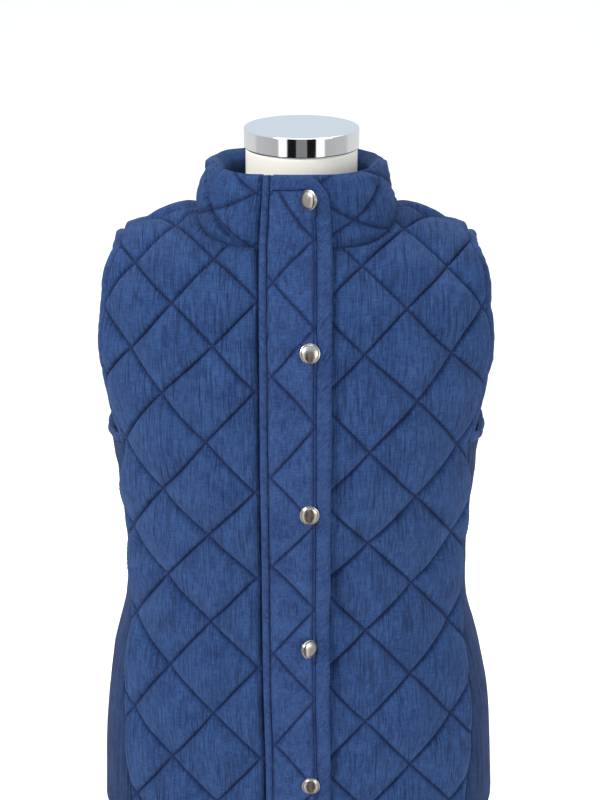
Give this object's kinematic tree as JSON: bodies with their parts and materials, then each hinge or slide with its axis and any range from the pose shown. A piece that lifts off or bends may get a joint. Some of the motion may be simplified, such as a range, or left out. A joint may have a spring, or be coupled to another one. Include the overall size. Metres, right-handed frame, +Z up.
{
  "type": "quilted vest on a dress form",
  "caption": "Sleeveless quilted vest with a stand collar and a snap front, worn by a limbless dress form on a round base.",
  "frame": {"origin": "centre of the base plate's underside, on the floor", "axes": "+Z up, -Y out of the front of the vest, +X towards the wearer's left"},
  "size_m": [0.41, 0.3, 0.923],
  "materials": {
    "quilted_cloth": "matt crinkled navy cotton, padded and quilted",
    "binding_cloth": "matt navy bias binding",
    "side_knit": "matt navy rib knit",
    "snap_metal": "brushed nickel",
    "form_linen": "matt cream linen",
    "form_chrome": "polished chrome"
  },
  "bodies": {
    "root": {"front_right": "quilted_cloth", "front_left": "quilted_cloth", "back": "quilted_cloth", "collar": "quilted_cloth", "placket": "quilted_cloth", "placket_binding": "binding_cloth", "placket_piping": "binding_cloth", "armhole_binding_right": "binding_cloth", "armhole_binding_left": "binding_cloth", "side_panel_right": "side_knit", "side_panel_left": "side_knit", "snap_1": "snap_metal", "snap_2": "snap_metal", "snap_3": "snap_metal", "snap_4": "snap_metal", "snap_5": "snap_metal", "form_torso": "form_linen", "neck_cap": "form_chrome", "pole": "form_chrome", "base_plate": "form_chrome"}
  },
  "joints": []
}
